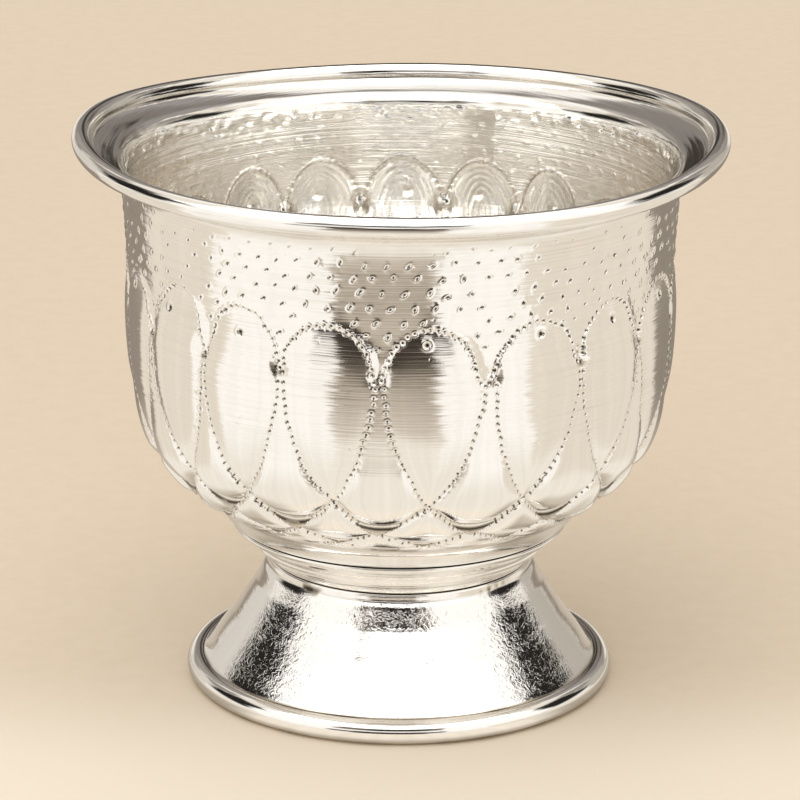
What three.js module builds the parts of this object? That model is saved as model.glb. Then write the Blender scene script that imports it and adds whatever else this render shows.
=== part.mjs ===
// Footed cup for vermilion powder: a thin embossed sheet-metal bowl with a
// rolled rim, standing on a spun ring collar and a flared hollow foot.
// Millimetres, +Z up. Origin: centre of the foot's resting ring, on the
// surface that the cup stands on. The front of the cup faces -Y, and angles
// run from there towards +X.

import * as THREE from 'three';

// ---- driving dimensions (mm) --------------------------------------------
const SHEET = 0.45;             // sheet thickness of the three shells
const GAP = 0.3;                // clearance kept at every soldered joint

const MOUTH_R = 32.5;           // outside of the rolled rim
const RIM_BEAD_R = 1.05;        // radius of the round rim bead
const RIM_BEAD_Z = 55.6;        // height of the bead's centre
const WALL_TOP_R = 27.75;       // outside of the wall where the lip turns out
const WALL_TOP_Z = 53.2;

const PETAL_SIDES = 4;          // facets across one petal
// cusps between neighbouring petals, in degrees; hammered by hand, so uneven
const CUSPS = [-4.6, 18.4, 39.4, 58.3, 77.8, 97.3, 116.7, 136.2, 152.7, 170.2,
  189.1, 207.1, 224.1, 242.4, 260.7, 278.9, 297.2, 316.1, 335.3];
const CUSP_Z = 39.5;            // height of the pressed-in cusps
const CUSP_DEPTH = 0.75;        // how far a cusp is pressed in
const ARCH_RISE = 5.2;          // height of a petal's arch over its cusps
const ARCH_Z = 45.2;            // top of the arches
const TIP_Z = 26.0;             // where petals narrow to their points

const FLOOR_Z = 16.2;           // underside of the bowl's bottom
const FLOOR_R = 13.5;           // flat part of the bowl's bottom

const COLLAR_TOP_R = 17.25;     // collar under the bowl
const COLLAR_TOP_Z = 16.45;
const SPIGOT_R = 12.75;         // collar's lower end, inside the foot's lip
const SPIGOT_BOTTOM_Z = 11.3;

const FOOT_R = 21.55;           // outside of the foot's rolled edge
const FOOT_BEAD_R = 1.2;        // radius of that edge
const FOOT_FLAT = 0.6;          // width of the flat ring the foot rests on
const LIP_R = 13.6;             // foot's top lip
const LIP_Z = 12.38;

const FOOT_SIDES = 56;
const COLLAR_SIDES = 48;
const SOLDER_SIDES = 36;

// ---- helpers --------------------------------------------------------------
const RAD = Math.PI / 180;

// points on a circle in the profile plane, angles in degrees
function arc(cx, cz, r, angles) {
  return angles.map((a) => [cx + r * Math.cos(a * RAD), cz + r * Math.sin(a * RAD)]);
}

// revolve a profile of [radius, height] about the vertical axis;
// shape(radius, height, column) may move a point: returns [radius, height, angle]
function revolve(profile, sides, shape) {
  const pts = profile.map(([r, z]) => new THREE.Vector2(r, z));
  if (THREE.ShapeUtils.area(pts) < 0) pts.reverse();
  const geo = new THREE.LatheGeometry(pts, sides);
  if (shape) {
    const pos = geo.attributes.position;
    for (let k = 0; k <= sides; k++) {
      for (let j = 0; j < pts.length; j++) {
        const [r, z, a] = shape(pts[j].x, pts[j].y, k);
        const s = pts[j].x < 1e-6 ? 0 : Math.sin(a);
        const c = pts[j].x < 1e-6 ? 0 : Math.cos(a);
        pos.setXYZ(k * pts.length + j, r * s, z, r * c);
      }
    }
  }
  geo.rotateX(Math.PI / 2);
  geo.computeVertexNormals();
  return geo;
}

function clamp01(t) {
  return Math.min(1, Math.max(0, t));
}

function smooth(a, b, x) {
  const t = clamp01((x - a) / (b - a));
  return t * t * (3 - 2 * t);
}

// piecewise linear table [[x, y], ...] with x rising
function table(rows, x) {
  if (x <= rows[0][0]) return rows[0][1];
  for (let i = 1; i < rows.length; i++) {
    if (x <= rows[i][0]) {
      const [x0, y0] = rows[i - 1];
      const [x1, y1] = rows[i];
      return y0 + (y1 - y0) * (x - x0) / (x1 - x0);
    }
  }
  return rows[rows.length - 1][1];
}

// ---- bowl -------------------------------------------------------------------
const BOWL_SIDES = CUSPS.length * PETAL_SIDES;

// angle of a column: even spacing on the plain rings, petal spacing in between
function columnAngle(k, petal) {
  const even = (k - 1) * 360 / BOWL_SIDES;
  const i = Math.floor(k / PETAL_SIDES);
  const turn = Math.floor(i / CUSPS.length) * 360;
  const a = CUSPS[i % CUSPS.length] + turn;
  const next = i + 1;
  const b = CUSPS[next % CUSPS.length] + Math.floor(next / CUSPS.length) * 360;
  const t = (k % PETAL_SIDES) / PETAL_SIDES;
  const hand = a + (b - a) * t;
  return (even + (hand - even) * petal) * RAD;
}

// embossing: petals with round arches above and points below
function emboss(r, z, k) {
  const petal = smooth(52.5, 47.5, z) * smooth(19.2, 20.4, z);
  const t = (k % PETAL_SIDES) / PETAL_SIDES;
  const u = Math.abs(2 * t - 1);                 // 1 at a cusp, 0 mid-petal
  let radius = r;
  let height = z;
  if (petal > 0 && r > 17) {
    const cusp = table([[19.9, 0], [21, 0], [24, 0.05], [TIP_Z, 0.14], [30, 0.4],
      [36, 0.5], [CUSP_Z - 1.2, CUSP_DEPTH], [ARCH_Z - 1, CUSP_DEPTH * 0.7], [ARCH_Z + 1.5, 0.05], [49, 0]], z);
    const mid = table([[19.9, 0.05], [21, 0.35], [24, 0.45], [TIP_Z, 0.4], [29, 0.06], [32, 0]], z);
    radius -= cusp * Math.pow(u, 2.2) + mid * Math.pow(1 - u, 2);
    const drop = 1 - Math.sqrt(Math.max(0, 1 - u * u));
    const follow = table([[35, 0], [37, 0.08], [39.5, 0.3], [42, 0.62], [ARCH_Z, 1], [46.2, 0.95], [48.5, 0.45], [51.4, 0]], z);
    height -= ARCH_RISE * drop * follow;
  }
  return [radius, height, columnAngle(k, petal)];
}

const beadR = MOUTH_R - RIM_BEAD_R;              // centre line of the rim bead

const bowlOutside = [
  [0, FLOOR_Z],
  [FLOOR_R, FLOOR_Z + 0.05],
  [16.6, 16.72],
  [17.62, 17.12],                                // lower edge of the plain band
  [17.98, 17.8],
  [18.4, 18.65],                                 // upper edge of the plain band
  [18.75, 19.3],
  [19.4, 19.95],
  [20.7, 20.95],
  [22.0, 22.2],
  [23.1, 23.5],
  [24.2, 25.0],
  [25.3, 27.0],
  [26.3, 30.0],
  [26.97, 34.0],
  [27.15, 37.0],
  [27.2, 39.5],
  [27.22, 44.3],
  [27.05, ARCH_Z],
  [27.22, 46.2],
  [27.45, 49.5],
  [WALL_TOP_R, WALL_TOP_Z],
  [28.2, 53.62],
  [30.1, 54.35],
];
const rimInside = arc(beadR, RIM_BEAD_Z, RIM_BEAD_R - SHEET, [205, 125, 45, -35, -112]);
const rimOutside = arc(beadR, RIM_BEAD_Z, RIM_BEAD_R, [-112, -75, -37, 0, 45, 90, 135, 180]);
const bowlInside = [
  [30.33, 55.0],
  [29.9, 54.75],
  [28.0, 54.05],
  [27.42, 53.6],
  [27.28, 53.0],
  [26.76, 46.2],
  [26.6, ARCH_Z],
  [26.76, 44.3],
  [26.75, 39.5],
  [26.7, 37.0],
  [25.86, 30.0],
  [24.88, 27.15],
  [22.75, 23.85],
  [20.45, 21.4],
  [18.3, 19.6],
  [17.3, 17.65],
  [16.4, 17.2],
  [FLOOR_R, FLOOR_Z + SHEET + 0.05],
  [0, FLOOR_Z + SHEET],
];
const bowlGeo = revolve([...bowlOutside, ...rimInside, ...rimOutside, ...bowlInside], BOWL_SIDES, emboss);

// ---- collar: cove and quarter-round under the bowl, spigot in the foot -----
const collarGeo = revolve([
  [COLLAR_TOP_R, COLLAR_TOP_Z],
  [COLLAR_TOP_R - SHEET, COLLAR_TOP_Z - 0.02],
  [15.85, 15.95],
  [14.6, 15.05],
  [14.15, 14.2],
  [13.3, 13.55],
  [SPIGOT_R - SHEET, 12.7],
  [SPIGOT_R - SHEET, SPIGOT_BOTTOM_Z],
  [SPIGOT_R, SPIGOT_BOTTOM_Z],
  [SPIGOT_R, 12.7],
  [13.0, 12.72],
  [13.35, 12.98],
  [13.75, 13.35],
  [14.3, 13.7],
  [14.78, 14.15],
  [15.08, 14.75],
  [15.75, 15.35],
  [16.5, 15.9],
  [COLLAR_TOP_R, COLLAR_TOP_Z],
], COLLAR_SIDES);

// ---- foot: lip, flare and rolled lower edge ---------------------------------
const footBead = FOOT_R - FOOT_BEAD_R;           // centre line of the rolled edge
const footGeo = revolve([
  [SPIGOT_R + GAP + 0.05, 11.9],
  [SPIGOT_R + GAP + 0.07, LIP_Z - 0.06],
  [13.35, LIP_Z],
  [LIP_R, 11.98],
  [13.8, 11.5],
  [14.04, 10.85],
  [14.4, 10.0],
  [14.9, 9.1],
  [15.6, 8.1],
  [16.8, 6.4],
  [18.45, 4.1],
  [19.8, 2.3],
  ...arc(footBead, FOOT_BEAD_R, FOOT_BEAD_R, [112, 75, 38, 0, -38]),
  [footBead + FOOT_FLAT / 2, 0],
  [footBead - FOOT_FLAT / 2, 0],
  ...arc(footBead, FOOT_BEAD_R, FOOT_BEAD_R, [-142, -165]),
  ...arc(footBead, FOOT_BEAD_R, FOOT_BEAD_R - SHEET, [-165, -125, -55, 10, 75]),
  [19.5, 1.95],
  [16.4, 6.2],
  [15.2, 7.9],
  [14.1, 9.6],
  [13.6, 10.75],
  [13.36, 11.4],
  [SPIGOT_R + GAP + 0.05, 11.9],
], FOOT_SIDES);

// ---- solder fillets, hidden in the two joints ---------------------------------
const solderUpperGeo = revolve([
  [14.2, 15.2], [15.1, 15.86], [14.4, 15.98], [12.9, 15.9], [12.8, 15.55], [14.2, 15.2],
], SOLDER_SIDES);
const solderLowerGeo = revolve([
  [12.35, 10.35], [12.85, 10.3], [13.2, 10.55], [12.98, 10.98], [12.35, 10.98], [12.35, 10.35],
], SOLDER_SIDES);

// ---- assembly -------------------------------------------------------------------
function piece(name, geometry, color, roughness, metalness) {
  const mesh = new THREE.Mesh(geometry, new THREE.MeshStandardMaterial({ color, roughness, metalness }));
  mesh.name = name;
  return mesh;
}

const cup = new THREE.Group();
cup.add(piece('bowl_shell', bowlGeo, 0xd9d2c4, 0.16, 1.0));
cup.add(piece('neck_collar', collarGeo, 0xd6cebf, 0.18, 1.0));
cup.add(piece('foot_shell', footGeo, 0xd8d1c3, 0.2, 1.0));
cup.add(piece('solder_bowl_to_collar', solderUpperGeo, 0x9d9a94, 0.45, 1.0));
cup.add(piece('solder_collar_to_foot', solderLowerGeo, 0x9d9a94, 0.45, 1.0));

export default cup;
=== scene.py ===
import math

import bpy
import numpy as np
from mathutils import Matrix, Vector


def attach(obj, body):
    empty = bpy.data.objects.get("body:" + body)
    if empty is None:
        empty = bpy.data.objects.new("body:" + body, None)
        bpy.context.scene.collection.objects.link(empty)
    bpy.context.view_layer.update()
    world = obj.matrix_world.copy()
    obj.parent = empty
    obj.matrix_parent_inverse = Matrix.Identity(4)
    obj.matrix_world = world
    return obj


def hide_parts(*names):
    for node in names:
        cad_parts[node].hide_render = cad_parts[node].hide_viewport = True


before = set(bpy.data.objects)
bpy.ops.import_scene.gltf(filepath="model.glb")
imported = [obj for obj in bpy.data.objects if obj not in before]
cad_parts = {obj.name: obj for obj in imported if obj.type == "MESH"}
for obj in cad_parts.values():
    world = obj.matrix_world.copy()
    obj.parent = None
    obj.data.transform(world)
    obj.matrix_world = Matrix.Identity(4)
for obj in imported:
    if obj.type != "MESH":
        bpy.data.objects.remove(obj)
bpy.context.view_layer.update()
MM = 0.001
RAD = math.pi / 180
RNG = np.random.default_rng(1907)


# ---------------------------------------------------------------------------
# numbers: curves, noise
# ---------------------------------------------------------------------------
def pchip(x, y, q):
    """Monotone cubic through the points (x, y), read at q."""
    x, y, q = (np.asarray(a, float) for a in (x, y, q))
    h = np.diff(x)
    d = np.diff(y) / h
    m = np.zeros_like(y)
    w1 = 2 * h[1:] + h[:-1]
    w2 = h[1:] + 2 * h[:-1]
    same = d[:-1] * d[1:] > 0
    inner = np.zeros(len(y) - 2)
    inner[same] = (w1 + w2)[same] / (w1[same] / d[:-1][same] + w2[same] / d[1:][same])
    m[1:-1] = inner
    m[0], m[-1] = d[0], d[-1]
    k = np.clip(np.searchsorted(x, q, side="right") - 1, 0, len(h) - 1)
    t = np.clip((q - x[k]) / h[k], 0, 1)
    t2, t3 = t * t, t * t * t
    return (
        (2 * t3 - 3 * t2 + 1) * y[k]
        + (t3 - 2 * t2 + t) * h[k] * m[k]
        + (-2 * t3 + 3 * t2) * y[k + 1]
        + (t3 - t2) * h[k] * m[k + 1]
    )


def smooth(a, b, x):
    t = np.clip((x - a) / (b - a), 0.0, 1.0)
    return t * t * (3 - 2 * t)


def softmin(a, b, k):
    """The smaller of two distances, rounded over about k."""
    h = np.clip(0.5 + 0.5 * (b - a) / k, 0, 1)
    return b + (a - b) * h - k * h * (1 - h)


def _spline_weights(n_out, n_in, periodic):
    if periodic:
        x = np.arange(n_out) * n_in / n_out
    else:
        x = np.linspace(1, n_in - 2.0001, n_out)
    i = np.floor(x).astype(int)
    t = x - i
    w = np.stack(
        [
            (1 - t) ** 3 / 6,
            (3 * t**3 - 6 * t**2 + 4) / 6,
            (-3 * t**3 + 3 * t**2 + 3 * t + 1) / 6,
            t**3 / 6,
        ],
        1,
    )
    idx = i[:, None] + np.array([-1, 0, 1, 2])[None]
    return (idx % n_in if periodic else np.clip(idx, 0, n_in - 1)), w


def noise(nu, nv, cu, cv, rng):
    """A smooth random field of about -1..1, periodic around, from cu x cv knots."""
    g = rng.normal(0, 0.9, (cu, cv + 3))
    iu, wu = _spline_weights(nu, cu, True)
    iv, wv = _spline_weights(nv, cv + 3, False)
    a = sum(wu[:, k, None] * g[iu[:, k]] for k in range(4))
    return sum(a[:, iv[:, k]] * wv[None, :, k] for k in range(4))


def ring_noise(n, knots, rng):
    return noise(n, 4, knots, 4, rng)[:, 1]


def arc(cx, cz, r, a0, a1, step=14.0):
    n = max(2, int(abs(a1 - a0) / step) + 1)
    return [(cx + r * math.cos(a * RAD), cz + r * math.sin(a * RAD)) for a in np.linspace(a0, a1, n)]


def along(points, step):
    """Points of a smooth curve through the given ones, about step apart."""
    p = np.asarray(points, float)
    s = np.concatenate([[0], np.cumsum(np.hypot(*np.diff(p, axis=0).T))])
    n = max(2, int(round(s[-1] / step)) + 1)
    q = np.linspace(0, s[-1], n)
    return np.stack([pchip(s, p[:, 0], q), pchip(s, p[:, 1], q)], 1)


# ---------------------------------------------------------------------------
# meshes
# ---------------------------------------------------------------------------
class Sheet:
    """Collects vertices and faces and turns them into one object."""

    def __init__(self):
        self.co, self.at, self.faces, self.n = [], [], [], 0
        self.side, self.sides = 0.0, []

    def add(self, co, shade_and_dirt=None):
        co = np.asarray(co, float).reshape(-1, 3)
        first = self.n
        self.co.append(co)
        self.at.append(np.zeros(len(co)) if shade_and_dirt is None else np.asarray(shade_and_dirt, float).reshape(-1))
        self.sides.append(np.zeros(len(co)) + self.side)
        self.n += len(co)
        return np.arange(first, self.n)

    def polys(self, idx):
        if len(idx):
            self.faces.append(np.asarray(idx, np.int64))

    def band(self, a, b):
        """Quads between two closed rings of the same number of vertices."""
        self.polys(np.stack([a, np.roll(a, -1), np.roll(b, -1), b], 1))

    def fan(self, ring, centre, up):
        nxt = np.roll(ring, -1)
        c = np.full_like(ring, centre)
        self.polys(np.stack([ring, nxt, c] if up else [nxt, ring, c], 1))

    def build(self, name, material):
        co = np.concatenate(self.co) * MM
        shade_dirt = np.concatenate(self.at)
        loops = np.concatenate([f.ravel() for f in self.faces])
        sizes = np.concatenate([np.full(len(f), f.shape[1]) for f in self.faces])
        starts = np.concatenate([[0], np.cumsum(sizes)[:-1]])
        me = bpy.data.meshes.new(name)
        me.vertices.add(len(co))
        me.vertices.foreach_set("co", co.astype(np.float32).ravel())
        me.loops.add(len(loops))
        me.loops.foreach_set("vertex_index", loops.astype(np.int32))
        me.polygons.add(len(sizes))
        me.polygons.foreach_set("loop_start", starts.astype(np.int32))
        me.polygons.foreach_set("use_smooth", np.ones(len(sizes), bool))
        me.update(calc_edges=True)
        # this attribute carries painted shade and some dirt, vertex by vertex
        a = me.attributes.new("shade_and_dirt", "FLOAT", "POINT")
        a.data.foreach_set("value", shade_dirt.astype(np.float32))
        a = me.attributes.new("inside", "FLOAT", "POINT")
        a.data.foreach_set("value", np.concatenate(self.sides).astype(np.float32))
        me.materials.append(material)
        ob = bpy.data.objects.new(name, me)
        bpy.context.scene.collection.objects.link(ob)
        return ob


def ring(r, z, n, dr=0.0, dz=0.0, turn=0.0):
    a = np.arange(n) * 2 * math.pi / n + turn
    rr = r + dr
    return np.stack([rr * np.sin(a), -rr * np.cos(a), np.zeros(n) + z + dz], 1)


def adaptive_wall(sheet, nc, mc, k, pos, shade_and_dirt, refine):
    """A band of nc x mc cells around; cells marked in refine are split k x k.
    pos is the (nc*k, mc*k+1, 3) lattice. Returns the first and last coarse rings."""
    nu, nv = nc * k, mc * k + 1
    refine = refine.copy()
    refine[:, 0] = False
    refine[:, -1] = False
    used = np.zeros((nu, nv), bool)
    used[::k, ::k] = True
    ci, cj = np.nonzero(refine)
    for a in range(k + 1):
        for b in range(k + 1):
            used[(ci * k + a) % nu, cj * k + b] = True
    index = np.full((nu, nv), -1, np.int64)
    whole = sheet.side
    if np.ndim(whole):
        sheet.side = whole[used]
    index[used] = sheet.add(pos[used], shade_and_dirt[used])
    if np.ndim(whole):
        sheet.side = 1.0
    for a in range(k):
        for b in range(k):
            i0, i1 = ci * k + a, (ci * k + a + 1) % nu
            j0, j1 = cj * k + b, cj * k + b + 1
            sheet.polys(np.stack([index[i0, j0], index[i1, j0], index[i1, j1], index[i0, j1]], 1))
    down = np.zeros_like(refine)
    down[:, 1:] = refine[:, :-1]
    up = np.zeros_like(refine)
    up[:, :-1] = refine[:, 1:]
    right = np.roll(refine, -1, 0)
    left = np.roll(refine, 1, 0)
    code = down * 1 + right * 2 + up * 4 + left * 8
    for c in range(16):
        ui, uj = np.nonzero(~refine & (code == c))
        if not len(ui):
            continue
        path = [(0, 0)]
        if c & 1:
            path += [(a, 0) for a in range(1, k)]
        path += [(k, 0)]
        if c & 2:
            path += [(k, b) for b in range(1, k)]
        path += [(k, k)]
        if c & 4:
            path += [(a, k) for a in range(k - 1, 0, -1)]
        path += [(0, k)]
        if c & 8:
            path += [(0, b) for b in range(k - 1, 0, -1)]
        sheet.polys(np.stack([index[(ui * k + a) % nu, uj * k + b] for a, b in path], 1))
    return index[::k, 0], index[::k, -1]


def cells_to_split(h, nc, mc, k, limit):
    """Cells where the relief h leaves the flat of its four corners by more than limit."""
    nu = nc * k
    worst = np.zeros((nc, mc))
    i = np.arange(nc) * k
    j = np.arange(mc) * k
    c00 = h[np.ix_(i, j)]
    c10 = h[np.ix_((i + k) % nu, j)]
    c01 = h[np.ix_(i, j + k)]
    c11 = h[np.ix_((i + k) % nu, j + k)]
    for a in range(k + 1):
        for b in range(k + 1):
            s, t = a / k, b / k
            flat = c00 * (1 - s) * (1 - t) + c10 * s * (1 - t) + c01 * (1 - s) * t + c11 * s * t
            worst = np.maximum(worst, np.abs(h[np.ix_((i + a) % nu, j + b)] - flat))
    return worst > limit


# ---------------------------------------------------------------------------
# the bowl's embossing, in millimetres and degrees
# ---------------------------------------------------------------------------
CUSPS = np.array([-4.6, 18.4, 39.4, 58.3, 77.8, 97.3, 116.7, 136.2, 152.7, 170.2,
                  189.1, 207.1, 224.1, 242.4, 260.7, 278.9, 297.2, 316.1, 335.3])
NP = len(CUSPS)
WIDTH = np.roll(CUSPS, -1) - CUSPS
WIDTH[-1] += 360.0

WALL = [(17.08, 17.1), (17.68, 17.75), (18.32, 18.62), (18.75, 19.3), (19.4, 19.95), (20.7, 20.95),
        (22.0, 22.2), (23.1, 23.5), (24.2, 25.0), (25.3, 27.0), (26.3, 30.0), (26.97, 34.0),
        (27.15, 37.0), (27.2, 39.5), (27.22, 44.3), (27.22, 46.2), (27.42, 49.3), (27.58, 50.8), (27.82, 52.0),
        (28.1, 52.75), (28.34, 53.2)]

NC, MC, K = 456, 104, 4           # coarse cells round and up the wall, and how a cell is split
NU, NV = NC * K, MC * K + 1


def wall_curve():
    w = np.array(WALL)
    z = np.linspace(w[0, 1], w[-1, 1], 6000)
    r = pchip(w[:, 1], w[:, 0], z)
    s = np.concatenate([[0], np.cumsum(np.hypot(np.diff(z), np.diff(r)))])
    q = np.linspace(0, s[-1], NV)
    zq = np.interp(q, s, z)
    rq = np.interp(q, s, r)
    tr, tz = np.gradient(rq, q), np.gradient(zq, q)
    for _ in range(3):
        tr[1:-1] = (tr[:-2] + 2 * tr[1:-1] + tr[2:]) / 4
        tz[1:-1] = (tz[:-2] + 2 * tz[1:-1] + tz[2:]) / 4
    ln = np.hypot(tr, tz)
    return q, rq, zq, tz / ln, -tr / ln


S, R, Z, NR, NZ = wall_curve()


def rim_rise(phi):
    """The rim was bent by hand: how far it stands over its mean height, round the cup."""
    a = phi * RAD
    return (0.232 * np.cos(a) - 0.016 * np.sin(a) - 0.512 * np.cos(2 * a) - 0.062 * np.sin(2 * a)
            + 0.109 * np.cos(3 * a) + 0.044 * np.sin(3 * a) + 0.131 * np.cos(4 * a) - 0.035 * np.sin(4 * a))


PHI = np.arange(NU) * 360.0 / NU
UPS = Z > 19.0

# how far a punched line has run towards the next cusp, at heights along the wall
LINE_Z = [19.4, 19.9, 20.35, 20.9, 21.6, 22.5, 23.7, 25.0, 26.5, 28.0, 29.5, 31.0, 33.0, 35.0, 37.0, 39.0, 40.0]
RUN = np.array([2.12, 1.86, 1.64, 1.42, 1.20, 0.97, 0.765, 0.61, 0.47, 0.355, 0.27, 0.20, 0.132, 0.084, 0.052, 0.032, 0.028])
HAND = {  # lines that differ from the rest, at heights 22.5 to 39
    ("R", 18): (0.945, 0.747, 0.620, 0.500, 0.358, 0.241, 0.183, 0.120, 0.068, 0.047, 0.036),
    ("L", 18): (1.100, 0.930, 0.682, 0.518, 0.399, 0.294, 0.226, 0.148, 0.083, 0.033, 0.025),
    ("L", 0): (1.040, 0.855, 0.657, 0.493, 0.360, 0.289, 0.204, 0.135, 0.082, 0.033, 0.020),
    ("R", 0): (0.913, 0.731, 0.583, 0.432, 0.356, 0.281, 0.214, 0.146, 0.099, 0.078, 0.066),
    ("L", 1): (1.026, 0.791, 0.639, 0.475, 0.366, 0.278, 0.217, 0.148, 0.108, 0.059, 0.045),
    ("R", 1): (0.960, 0.755, 0.583, 0.426, 0.312, 0.236, 0.173, 0.112, 0.076, 0.063, 0.064),
    ("L", 2): (0.960, 0.755, 0.619, 0.472, 0.376, 0.267, 0.186, 0.104, 0.064, 0.019, 0.010),
    ("R", 2): (1.060, 0.890, 0.760, 0.555, 0.410, 0.287, 0.215, 0.129, 0.065, 0.030, 0.020),
    ("R", 17): (0.880, 0.690, 0.520, 0.370, 0.250, 0.170, 0.120, 0.075, 0.045, 0.020, 0.020),
    ("L", 17): (0.960, 0.760, 0.600, 0.434, 0.344, 0.242, 0.171, 0.096, 0.060, 0.035, 0.025),
}


def punched_lines():
    """Angles, at every row, of the lines that leave each cusp to the right and to the left."""
    right = np.zeros((NP, NV))
    left = np.zeros((NP, NV))
    rng = np.random.default_rng(31)
    for side, out in (("R", right), ("L", left)):
        for k in range(NP):
            g = RUN.copy()
            if (side, k) in HAND:
                hand = np.array(HAND[(side, k)])
                g[5:16] = hand
                g[16] = hand[-1]
                g[:5] = RUN[:5] + (hand[0] - RUN[5]) * 0.6
            else:
                g = g + rng.normal(0, 0.012, len(g)) * smooth(0, 8, np.arange(len(g))) + rng.normal(0, 0.02) * (g > 0.1)
                g = np.minimum.accumulate(g)
            w = WIDTH[k] if side == "R" else -WIDTH[(k - 1) % NP]
            out[k] = CUSPS[k] + w * pchip(LINE_Z, g, np.clip(Z, LINE_Z[0], LINE_Z[-1]))
    return right, left


RIGHT, LEFT = punched_lines()

# the arches over the petals: (share of the petal's width, height)
ARCH = [(0.045, 40.3), (0.065, 41.3), (0.105, 42.2), (0.16, 43.05), (0.24, 43.8), (0.33, 44.3), (0.43, 44.6),
        (0.52, 44.65), (0.61, 44.5), (0.69, 44.15), (0.77, 43.6), (0.84, 42.8), (0.895, 41.8), (0.93, 40.9), (0.95, 40.2)]
ARCH_HAND = {
    18: [(0.035, 40.4), (0.049, 41.57), (0.093, 42.51), (0.147, 43.06), (0.222, 43.63), (0.274, 44.08), (0.348, 44.35),
         (0.43, 44.62), (0.512, 44.59), (0.603, 44.46), (0.663, 44.2), (0.743, 43.76), (0.812, 43.11), (0.862, 42.55),
         (0.901, 41.97), (0.921, 41.29), (0.945, 40.3)],
    0: [(0.055, 40.0), (0.077, 40.95), (0.108, 41.45), (0.137, 42.04), (0.171, 42.63), (0.222, 43.22), (0.29, 43.81),
        (0.342, 44.12), (0.41, 44.35), (0.47, 44.42), (0.539, 44.28), (0.591, 44.05), (0.644, 43.79), (0.705, 43.46),
        (0.767, 42.93), (0.803, 42.32), (0.83, 41.71), (0.846, 41.01), (0.859, 40.11)],
    17: [(0.06, 40.2), (0.099, 40.9), (0.16, 42.37), (0.205, 43.45), (0.275, 44.37), (0.37, 44.93), (0.462, 45.27),
         (0.565, 45.24), (0.652, 45.07), (0.725, 44.88), (0.785, 44.28), (0.844, 43.67), (0.902, 42.86), (0.949, 41.94),
         (0.97, 40.99), (0.985, 40.3)],
    1: [(0.055, 40.2), (0.072, 41.08), (0.112, 41.8), (0.162, 42.37), (0.223, 42.99), (0.295, 43.65), (0.367, 44.18),
        (0.453, 44.32), (0.552, 44.32), (0.631, 44.1), (0.723, 43.66), (0.794, 43.14), (0.844, 42.26), (0.883, 41.4),
        (0.91, 40.6), (0.935, 39.9)],
    16: [(0.05, 40.3), (0.1, 41.9), (0.16, 42.8), (0.24, 43.5), (0.348, 44.6), (0.485, 45.42), (0.611, 45.71),
         (0.728, 45.47), (0.82, 45.0), (0.89, 44.2), (0.935, 43.2), (0.965, 42.0), (0.98, 40.6)],
    2: [(0.03, 40.3), (0.04, 41.39), (0.062, 42.1), (0.105, 42.68), (0.162, 43.37), (0.251, 44.01), (0.359, 44.7),
        (0.474, 44.77), (0.577, 44.66), (0.687, 44.13), (0.769, 42.96), (0.835, 41.51), (0.905, 40.04)],
}
CUSP_FOOT = {0: 39.0, 1: 38.7, 2: 39.3,      # bottom of the little U between two arches
             7: 40.2, 8: 40.8, 9: 40.9, 10: 40.9, 11: 40.8, 12: 40.2}


def arches():
    out = []
    rng = np.random.default_rng(77)
    for k in range(NP):
        pts = ARCH_HAND.get(k)
        if pts is None:
            lift, lean, fat = rng.normal(0, 0.22), rng.normal(0, 0.012), 1 + rng.normal(0, 0.02)
            pts = [(0.5 + (t - 0.5) * fat + lean * math.sin(math.pi * t), 39.9 + (z - 39.9) * (1 + lift * 0.09)) for t, z in ARCH]
        # the row stands a little higher at the back of the cup
        lift = {6: 0.5, 7: 1.4, 8: 1.5, 9: 1.5, 10: 1.5, 11: 1.4, 12: 0.5}.get(k, 0.0)
        broad = {7: 1.08, 8: 1.13, 9: 1.13, 10: 1.13, 11: 1.08}.get(k, 1.0)
        out.append([(CUSPS[k] + WIDTH[k] * (0.5 + (t - 0.5) * broad), z + lift * (1 + (z - 39.9) * 0.11)) for t, z in pts])
    return out


ARCHES = arches()


def scallops():
    """The closed edge that runs over every arch and through the little U at every cusp."""
    pts = []
    for k in range(NP):
        a = ARCHES[k]
        pts += a
        b = ARCHES[(k + 1) % NP]
        x0, z0 = a[-1]
        x1, z1 = b[0]
        if k == NP - 1:
            x1 += 360.0
        foot = CUSP_FOOT.get((k + 1) % NP, 39.35)
        for t in (0.12, 0.32, 0.5, 0.68, 0.88):
            side = abs(2 * t - 1)
            pts.append((x0 + (x1 - x0) * t, foot + ((z0 + z1) / 2 - foot) * side**3))
    return pts


SCALLOPS = scallops()


def dense(points, step):
    """A polyline in (degrees, mm of height) cut to pieces of about step mm; returns angles, heights, lengths."""
    p = np.asarray(points, float)
    r = np.interp(p[:, 1], Z, R)
    s = np.interp(p[:, 1], Z, S)
    d = np.hypot(np.diff(p[:, 0]) * RAD * (r[1:] + r[:-1]) / 2, np.diff(s))
    ln = np.concatenate([[0], np.cumsum(d)])
    n = max(2, int(round(ln[-1] / step)) + 1)
    q = np.linspace(0, ln[-1], n)
    return np.interp(q, ln, p[:, 0]), np.interp(q, ln, p[:, 1])


def line_points(table, k, z_low, z_high):
    sel = (Z >= z_low) & (Z <= z_high)
    return np.stack([table[k, sel], Z[sel]], 1)[::-1]


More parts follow.
